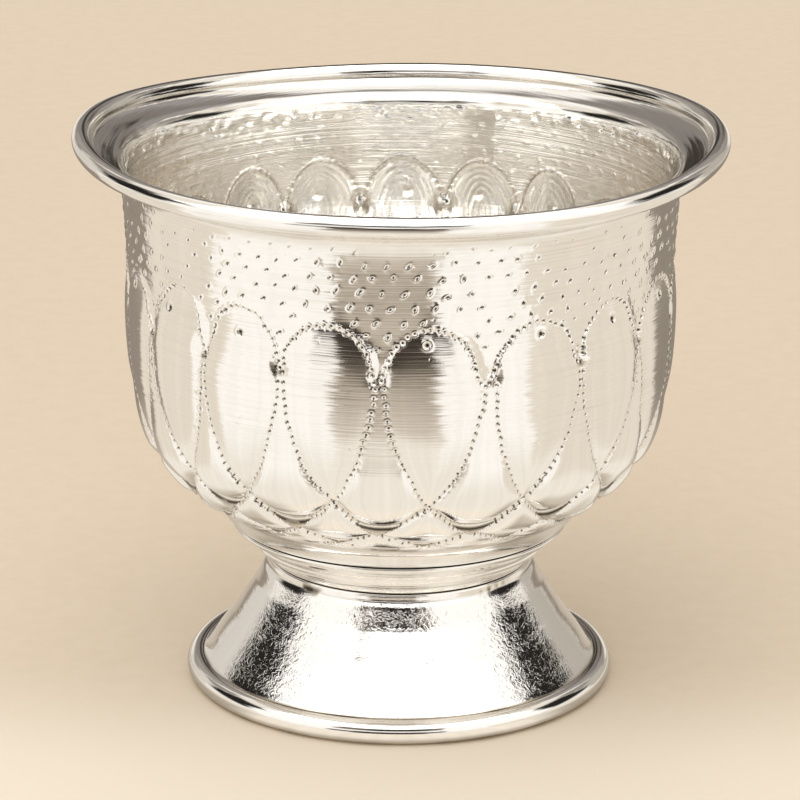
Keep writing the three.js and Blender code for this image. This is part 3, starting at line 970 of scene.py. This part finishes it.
    # darker patches on the inner wall at the back, between heights 37 and 41, weaker on the petals
    back_dark_patches = 0.30 * smooth(197.9, 196.9, PHI) * smooth(184.5, 193.5, PHI) + 0.34 * smooth(158.3, 159.2, PHI) * smooth(169.5, 164.5, PHI)
    inner_darkening = np.maximum(inner_darkening, back_dark_patches[:, None] * smooth(37, 41, Z)[None, :] * (1 - 0.45 * PETAL) + 0.9 * grain)[:: K // k2][:, rows]
    split2 = cells_to_split(hin + 0.1 * inner_darkening, NC, mc2, k2, 0.009)
    sh.side = (1.0 - 0.75 * PETAL)[:: K // k2][:, rows]
    top2, low2 = adaptive_wall(sh, NC, mc2, k2, pos2, inner_darkening, split2)
    sh.band(prev, top2)
    prev = low2
    r0, z0 = R[rows[-1]] - SHEET * NR[rows[-1]], Z[rows[-1]] - SHEET * NZ[rows[-1]]
    floor = along([(r0, z0), (18.0, 18.85), (17.35, 17.95), (16.6, 17.35), (15.2, 16.95), (13.5, 16.72), (9.0, 16.68), (1.2, 16.65)], 0.45)[1:]
    for r, z in floor:
        now = sh.add(ring(r, z, NC))
        sh.band(prev, now)
        prev = now
    centre = sh.add([(0, 0, 16.65)])[0]
    sh.fan(prev, centre, True)
    return sh.build("bowl_embossed", material)


# ---------------------------------------------------------------------------
# foot, collar, solder
# ---------------------------------------------------------------------------
def lathe(name, profile, n, material, shape=None, shade_and_dirt=None):
    """Revolves a closed profile (list of (r, z), anticlockwise as seen with r to the right)."""
    sh = Sheet()
    rings = []
    p = np.asarray(profile, float)
    area = 0.5 * np.sum(p[:, 0] * np.roll(p[:, 1], -1) - np.roll(p[:, 0], -1) * p[:, 1])
    if area < 0:
        p = p[::-1]
    t = np.roll(p, -1, 0) - np.roll(p, 1, 0)
    t /= np.maximum(np.hypot(t[:, 0], t[:, 1]), 1e-9)[:, None]
    nr, nz = t[:, 1], -t[:, 0]
    d = np.zeros((n, len(p))) if shape is None else shape(n, p, nr, nz)
    for j, (r, z) in enumerate(p):
        rings.append(sh.add(ring(r, z, n, dr=d[:, j] * nr[j], dz=d[:, j] * nz[j]), None if shade_and_dirt is None else shade_and_dirt[:, j]))
    for a, b in zip(rings, rings[1:] + rings[:1]):
        sh.band(a, b)
    return sh.build(name, material)


def make_foot(material):
    outer = along([(12.97, 12.3), (13.0, 12.7), (13.1, 12.82), (13.22, 12.82), (13.3, 12.7), (13.34, 12.4), (13.37, 12.14), (13.45, 12.0), (13.72, 11.58),
                   (13.93, 11.12), (14.15, 10.62), (14.46, 9.96), (14.66, 9.64),
                   (15.35, 8.56), (16.05, 7.48), (16.8, 6.33), (18.45, 4.1), (19.55, 2.62), (19.85, 2.33)], 0.16)
    bead = arc(20.35, 1.2, 1.2, 112, -62, 7)
    foot = [(20.35 + 0.3, 0.0), (20.35 - 0.3, 0.0)]
    back = arc(20.35, 1.2, 1.2, -118, -165, 9) + arc(20.35, 1.2, 0.75, -165, 75, 14)
    inner = along([(19.5, 1.95), (18.2, 3.78), (16.4, 6.2), (15.2, 7.9), (14.1, 9.6), (13.6, 10.75), (13.3, 11.4), (12.98, 11.9)], 0.35)
    prof = [tuple(p) for p in outer] + bead + foot + back + [tuple(p) for p in inner]
    rng = np.random.default_rng(12)

    def shape(n, p, nr, nz):
        m = len(p)
        out = np.zeros((n, m))
        skin = (nr * 0.8 + nz * 0.6 > 0.3) & (p[:, 1] > 2.9) & (p[:, 1] < 11.9)
        js = np.nonzero(skin)[0]
        big = noise(n, len(js), 150, 20, rng)
        mid = noise(n, len(js), 330, 46, rng)
        fade = smooth(2.9, 3.7, p[js, 1]) * (0.25 + 0.75 * smooth(11.9, 10.6, p[js, 1]))
        beside = np.abs((np.arange(n) * 360.0 / n + 180.0) % 360.0 - 180.0)
        calm = 1 - 0.8 * smooth(56, 68, beside) * smooth(150, 120, beside)
        even = 1 - 0.85 * smooth(27, 19, beside)[:, None] * smooth(10.1, 9.5, p[js, 1])[None, :]
        out[:, js] = (0.009 * big + 0.010 * mid) * fade[None, :] * calm[:, None] * even
        slow = noise(n, m, 14, 6, rng) * 0.02
        return out + slow * smooth(1.9, 4.0, p[:, 1])[None, :] * smooth(12.2, 10.5, p[:, 1])[None, :]

    q = np.array(prof)
    # painted shade: a dark line in the groove above the bead with a wider dark zone round it, dark in the corner under
    # the collar, and a painted contact shadow under the bead; dark flecks by the lip at four places round the foot
    painted_shade = (0.75 * np.exp(-(np.hypot(q[:, 0] - 19.84, q[:, 1] - 2.34) / 0.16) ** 2) + 0.34 * np.exp(-(np.hypot(q[:, 0] - 20.0, q[:, 1] - 2.38) / 0.42) ** 2)
            + 0.5 * np.exp(-(np.hypot(q[:, 0] - 13.38, q[:, 1] - 12.06) / 0.09) ** 2)
            + 0.55 * np.exp(-(np.hypot(q[:, 0] - 21.1, q[:, 1] - 0.3) / 0.5) ** 2))
    turn = np.arange(600) * 0.6
    spots = np.exp(-(((turn - 318) / 9) ** 2)) + np.exp(-(((turn - 45) / 9) ** 2)) + 0.5 * np.exp(-(((turn - 150) / 14) ** 2)) + 0.5 * np.exp(-(((turn - 235) / 12) ** 2))
    flecks = np.clip(noise(600, len(q), 240, 60, rng) * 1.3, 0, 1)
    broken = 0.55 + 0.45 * noise(600, len(q), 60, 8, rng)
    order = -1 if 0.5 * np.sum(q[:, 0] * np.roll(q[:, 1], -1) - np.roll(q[:, 0], -1) * q[:, 1]) < 0 else 1
    painted_shade = painted_shade[None, :] * np.clip(broken, 0.35, 1.0)
    painted_shade = np.maximum(painted_shade, spots[:, None] * flecks * np.exp(-(np.hypot(q[:, 0] - 13.4, q[:, 1] - 12.2) / 0.45) ** 2)[None, :])
    return lathe("foot_flared", prof, 600, material, shape, painted_shade[:, ::order])


def make_collar(material):
    outer = along([(16.45, 16.64), (16.62, 16.76), (16.84, 16.82), (16.93, 16.68), (16.74, 16.3), (16.27, 15.92), (15.7, 15.52), (15.15, 15.18),
                   (14.9, 14.92), (14.87, 14.66), (14.7, 14.36), (14.35, 14.02), (13.95, 13.74), (13.62, 13.5), (13.44, 13.3), (13.38, 13.12),
                   (13.28, 12.99), (13.05, 12.94), (12.86, 12.88), (12.76, 12.7), (12.75, 12.35)], 0.1)
    low = [(12.75, 12.0), (12.75, 11.5), (12.72, 11.32), (12.6, 11.3), (12.45, 11.3), (12.32, 11.34), (12.3, 11.6)]
    inner = along([(12.3, 12.5), (12.42, 12.95), (13.1, 13.68), (13.95, 14.3), (14.45, 15.0), (15.3, 15.72), (16.2, 16.28), (16.38, 16.46)], 0.3)
    prof = [tuple(p) for p in outer] + low + [tuple(p) for p in inner]
    rng = np.random.default_rng(4)

    def shape(n, p, nr, nz):
        m = len(p)
        fine = noise(n, m, 120, 26, rng) * 0.004
        slow = noise(n, m, 10, 5, rng) * 0.018
        return (fine + slow) * smooth(12.5, 13.2, p[:, 1])[None, :] * smooth(16.85, 16.3, p[:, 1])[None, :]

    q = np.array(prof)
    front = (q[:, 0] > 12.7) & ((q[:, 1] < 15.4) | (q[:, 0] > 15.9 + (q[:, 1] - 15.4) * 0.9))
    # painted shade: darker in the cove, in a line under the band's lip, along two fine lines and at the lower edge by
    # the seam, with a painted darker patch in the cove on both sides
    cove = 0.26 * np.exp(-(((q[:, 1] - 15.85) / 0.42) ** 2)) + 0.5 * np.exp(-(((q[:, 1] - 16.74) / 0.12) ** 2)) + 0.45 * smooth(13.02, 12.8, q[:, 1])
    fine = 0.2 * np.exp(-(((q[:, 1] - 14.98) / 0.06) ** 2)) + 0.3 * np.exp(-(((q[:, 1] - 13.7) / 0.07) ** 2))
    painted_shade = (cove + fine) * front
    beside = np.abs((np.arange(432) / 1.2 + 180.0) % 360.0 - 180.0)
    side_shade = 0.34 * np.exp(-(((beside - 33) / 10) ** 2)) * np.clip(0.75 + 0.5 * ring_noise(432, 60, rng), 0, 1.2)
    painted_shade = painted_shade[None, :] + side_shade[:, None] * (np.exp(-(((q[:, 1] - 15.72) / 0.36) ** 2)) * front)[None, :]
    broken = 0.75 + 0.25 * noise(432, len(q), 50, 8, rng)
    order = -1 if 0.5 * np.sum(q[:, 0] * np.roll(q[:, 1], -1) - np.roll(q[:, 0], -1) * q[:, 1]) < 0 else 1
    return lathe("collar_spun", prof, 432, material, shape, (painted_shade * np.clip(broken, 0.4, 1.1))[:, ::order])


def make_solder(name, prof, seed, material, rough=0.05):
    rng = np.random.default_rng(seed)
    path = along(prof + [prof[0]], 0.14)[:-1]

    def shape(n, p, nr, nz):
        m = len(p)
        return noise(n, m, 60, 7, rng) * rough + noise(n, m, 160, 12, rng) * rough * 0.4 - rough * 0.9

    return lathe(name, [tuple(p) for p in path], 216, material, shape)


bowl_mat, foot_mat, collar_mat, solder_mat = bowl_material(), foot_material(), collar_material(), solder_material()
bowl = make_bowl(bowl_mat)
foot = make_foot(foot_mat)
collar = make_collar(collar_mat)
solder_up = make_solder("solder_under_bowl", [(14.2, 15.2), (14.75, 15.52), (15.1, 15.86), (14.4, 15.98), (12.9, 15.9), (12.8, 15.55), (13.4, 15.3)], 8, solder_mat, 0.04)
solder_low = make_solder("solder_under_collar", [(12.35, 10.35), (12.6, 10.28), (12.85, 10.3), (13.2, 10.55), (13.15, 10.85), (12.98, 10.98), (12.35, 10.98)], 9, solder_mat, 0.04)

for piece, node, slot in ((bowl, "bowl_shell", "bowl_metal"), (foot, "foot_shell", "foot_metal"), (collar, "neck_collar", "collar_metal"),
                          (solder_up, "solder_bowl_to_collar", "solder"), (solder_low, "solder_collar_to_foot", "solder")):
    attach(piece, "root")
    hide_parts(node)

# ---------------------------------------------------------------------------
# studio: table, soft lights, camera
# ---------------------------------------------------------------------------
def plain_mesh(name, verts, faces, material):
    me = bpy.data.meshes.new(name)
    me.from_pydata(verts, [], faces)
    me.materials.append(material)
    ob = bpy.data.objects.new(name, me)
    bpy.context.scene.collection.objects.link(ob)
    return ob


def only_reflected(ob):
    ob.visible_camera = False
    ob.visible_diffuse = False
    ob.visible_shadow = False
    ob.visible_transmission = False
    ob.visible_volume_scatter = False


table_mat = floor_material()
half = 3.0
plain_mesh("table", [(-half, -half, 0), (half, -half, 0), (half, half, 0), (-half, half, 0)], [(0, 1, 2, 3)], table_mat)

world = bpy.data.worlds.new("studio")
bpy.context.scene.world = world
world.use_nodes = True
bg = world.node_tree.nodes["Background"]
bg.inputs[0].default_value = (0.80, 0.72, 0.62, 1)
bg.inputs[1].default_value = 0.7

# The studio as the metal sees it: a table of pale cloth, white and cream screens round it, a gap where the
# camera stands, darker spaces beside and behind, and a wide softbox overhead.
# Each field: azimuth from, to; elevation from, to (degrees, as seen from the cup); softness of both; colour.
# Later fields are laid over earlier ones. The dome carries them as colours of its points, so they are light
# sources and not pictures.
WHITE, LOW_WHITE, CREAM, BEIGE = (1.10, 1.07, 1.02), (1.02, 0.98, 0.925), (0.885, 0.825, 0.735), (0.80, 0.72, 0.615)
GREY, SHADE, NIGHT = (0.52, 0.475, 0.42), (0.3, 0.27, 0.235), (0.02, 0.018, 0.016)
FIELDS = [
    (-77, -22, -32, 20, 1.2, 7, LOW_WHITE), (14, 49, -32, 20, 1.2, 7, LOW_WHITE),
    (-91, -22, 6, 45, 2.5, 5, WHITE), (14, 91, 6, 45, 2.5, 5, WHITE),
    (-120, -76, -34, 0, 1.5, 3, BEIGE), (49, 120, -34, 0, 1.5, 3, BEIGE), (-124, -90, 0, 16, 3, 3, (0.9, 0.86, 0.8)), (90, 124, 0, 16, 3, 3, (0.9, 0.86, 0.8)),
    (-200, -120, -70, -30, 5, 5, (0.55, 0.475, 0.385)), (120, 200, -70, -30, 5, 5, (0.55, 0.475, 0.385)),
    (-200, -122, -34, -7, 3, 3, (0.48, 0.405, 0.325)), (122, 200, -34, -7, 3, 3, (0.47, 0.40, 0.325)),
    (-164, -122, -27, -9, 4, 4, (0.30, 0.255, 0.21)), (122, 164, -27, -9, 4, 4, (0.285, 0.245, 0.20)),
    (-152, -122, -6, 24, 3, 3, (0.68, 0.635, 0.575)), (122, 152, -6, 24, 3, 3, (0.49, 0.445, 0.39)),
    (-30, 24, 12, 26, 2, 2, (1.02, 0.99, 0.95)),
    (-24, 14.5, -26, -11, 0.8, 3, (0.60, 0.525, 0.44)), (-24, 13, -18.5, -11, 1, 3, (0.43, 0.37, 0.3)), (-23.5, 13.5, -12.5, 10, 1, 2, (0.17, 0.14, 0.11)),
    (-36, 25, -2.0, 8, 1.5, 2, (0.06, 0.047, 0.038)), (-23.5, 13.5, -6.5, 9, 1, 3, (0.05, 0.04, 0.032)),
    (-35, 25, 20, 39, 1.4, 1.6, (0.19, 0.165, 0.14)), (-18, 17, 22, 38.5, 3, 2, (0.03, 0.025, 0.02)),
    (-122, -87, 9, 41, 4, 5, NIGHT), (87, 122, 9, 41, 4, 5, NIGHT),
    (-142, -123, 22, 40, 3, 3, (0.3, 0.27, 0.24)), (123, 142, 22, 40, 3, 3, (0.3, 0.27, 0.24)),
    (-220, -142, 32, 56, 5, 2, (1.02, 0.985, 0.93)), (142, 220, 32, 56, 5, 2, (1.02, 0.985, 0.93)),
    (-215, -145, 8, 32, 4, 4, SHADE), (145, 215, 6, 32, 4, 4, SHADE),
    (148, 173, 15, 44, 3, 3, (0.33, 0.3, 0.285)), (-173, -148, 15, 40, 3, 3, (0.36, 0.325, 0.29)),
    (160, 177, 7, 24, 2, 3, (0.19, 0.165, 0.15)), (-177, -163, 7, 30, 2, 3, (0.25, 0.225, 0.2)), (163, 177, 11, 17, 2, 2, (0.08, 0.065, 0.055)),
    (168, 192, 3, 48, 3, 3, (0.23, 0.205, 0.185)), (-192, -168, 3, 48, 3, 3, (0.25, 0.225, 0.205)),
    (176.5, 183.5, 3, 48, 1.5, 3, (0.05, 0.042, 0.035)), (-183.5, -176.5, 3, 48, 1.5, 3, (0.05, 0.042, 0.035)),
    (92, 146, 42, 61, 6, 3, (0.86, 0.8, 0.71)), (-146, -92, 42, 61, 6, 3, (0.86, 0.8, 0.71)),
    (-52, 52, -75, -50, 12, 5, (0.94, 0.85, 0.72)),
    # painted shadow: the table close to the foot is darker at the sides and behind, darkest right round it, as the
    # metal sees it
    (50, 200, -75, -50, 12, 5, (0.62, 0.54, 0.44)), (-200, -50, -75, -50, 12, 5, (0.62, 0.54, 0.44)),
    (50, 200, -75, -58, 12, 3, (0.42, 0.36, 0.28)), (-200, -50, -75, -58, 12, 3, (0.42, 0.36, 0.28)),
    (-200, 200, -75, -61.5, 3, 0.8, (0.3, 0.25, 0.19)),
]
OVERHEAD = (1.5, 1.485, 1.45)


def studio(az, el):
    """Colour of the studio towards azimuth az and elevation el, arrays in degrees."""
    col = np.zeros(az.shape + (3,)) + np.array(CREAM)
    wob = 1.4 * np.sin(el * 0.31 + 0.7) + 0.9 * np.sin(el * 0.83 + az * 0.05) + 0.5 * np.sin(el * 1.9)
    for a0, a1, e0, e1, sa, se, c in FIELDS:
        m = (smooth(a0 - sa, a0 + sa, az + wob) * smooth(a1 + sa, a1 - sa, az + wob)
             * smooth(e0 - se, e0 + se, el) * smooth(e1 + se, e1 - se, el))[..., None]
        col = col * (1 - m) + np.array(c) * m
    folds = 1 + 0.035 * np.sin(az * 0.55 + 0.4) * np.sin(az * 0.21 + el * 0.03) + 0.02 * np.sin(az * 1.3)
    col = col * folds[..., None]
    edge = 36.5 + 1.5 * smooth(40, 32, np.abs(az)) + 20 * smooth(92, 104, np.abs(az)) * smooth(150, 138, np.abs(az)) + 2.5 * smooth(70, 110, np.abs(az)) + 18.5 * smooth(124, 150, np.abs(az))
    m = smooth(edge - 1.5, edge + 1.5, el)[..., None]
    return col * (1 - m) + np.array(OVERHEAD) * m * (1 + 1.3 * smooth(46, 62, el)[..., None])


def make_studio(radius=0.5, eye=0.04):
    az = np.arange(-180, 180, 1.0)
    el = np.concatenate([np.arange(-62.0, 60.0, 1.0), np.arange(60.0, 90.1, 5.0)])
    a, e = np.meshgrid(az * RAD, el * RAD, indexing="ij")
    far = np.where(e < 0, np.minimum(radius, (eye - 0.0004) / np.maximum(-np.sin(e), 1e-6)), radius)
    far = np.minimum(far, radius)
    co = np.stack([far * np.cos(e) * np.sin(a), -far * np.cos(e) * np.cos(a), eye + far * np.sin(e)], -1)
    n, m = a.shape
    k = np.arange(n * m).reshape(n, m)
    nxt = np.roll(k, -1, 0)
    quads = np.stack([k[:, :-1], k[:, 1:], nxt[:, 1:], nxt[:, :-1]], -1).reshape(-1, 4)
    mat = Nodes("studio_screens")
    att = mat.new("ShaderNodeAttribute", attribute_name="light")
    e_node = mat.new("ShaderNodeEmission")
    mat.link(att.outputs["Color"], e_node.inputs["Color"])
    out = mat.new("ShaderNodeOutputMaterial")
    mat.link(e_node.outputs[0], out.inputs[0])
    mat.mat.cycles.emission_sampling = "NONE"
    ob = plain_mesh("studio_screens", co.reshape(-1, 3).tolist(), quads.tolist(), mat.mat)
    col = studio(a / RAD, e / RAD).reshape(-1, 3)
    layer = ob.data.color_attributes.new("light", "FLOAT_COLOR", "POINT")
    layer.data.foreach_set("color", np.concatenate([col, np.ones((len(col), 1))], 1).astype(np.float32).ravel())
    only_reflected(ob)
    return ob


make_studio()


def area(name, loc, aim, size_x, size_y, power, color, glossy=False):
    d = bpy.data.lights.new(name, "AREA")
    d.shape = "RECTANGLE"
    d.size, d.size_y = size_x, size_y
    d.energy = power
    d.color = color
    ob = bpy.data.objects.new(name, d)
    ob.location = loc
    v = np.array(aim, float) - np.array(loc, float)
    ob.rotation_euler = Vector(v).to_track_quat("-Z", "Y").to_euler()
    ob.visible_glossy = glossy
    bpy.context.scene.collection.objects.link(ob)
    return ob


sun = bpy.data.lights.new("key_light", "SUN")
sun.energy = 1.14
sun.angle = 1.25
sun.color = (1.0, 0.985, 0.955)
key = bpy.data.objects.new("key_light", sun)
key.rotation_euler = Vector((0.12, 0.04, -1.0)).to_track_quat("-Z", "Y").to_euler()
key.visible_glossy = False
bpy.context.scene.collection.objects.link(key)
area("front_light", (-0.12, -0.42, 0.42), (0, -0.06, 0), 0.4, 0.3, 0.4, (1.0, 0.985, 0.955))

cam_data = bpy.data.cameras.new("camera")
cam_data.sensor_width = 36.0
cam_data.lens = 4395.2 / 800 * 36.0
cam_data.clip_start = 0.01
cam_data.clip_end = 20
cam = bpy.data.objects.new("camera", cam_data)
tilt = Matrix.Rotation(math.pi / 2 - 0.314, 4, "X")
roll = Matrix.Rotation(0.0044, 4, "Z")
cam.matrix_world = Matrix.Translation((0.0, -0.41939, 0.16494)) @ tilt @ roll
bpy.context.scene.collection.objects.link(cam)
bpy.context.scene.camera = cam

bpy.context.scene.cycles.max_bounces = 14
bpy.context.scene.cycles.glossy_bounces = 12
view = bpy.context.scene.view_settings
view.view_transform = "Standard"
view.look = "None"
view.exposure = 0.0
view.gamma = 1.0
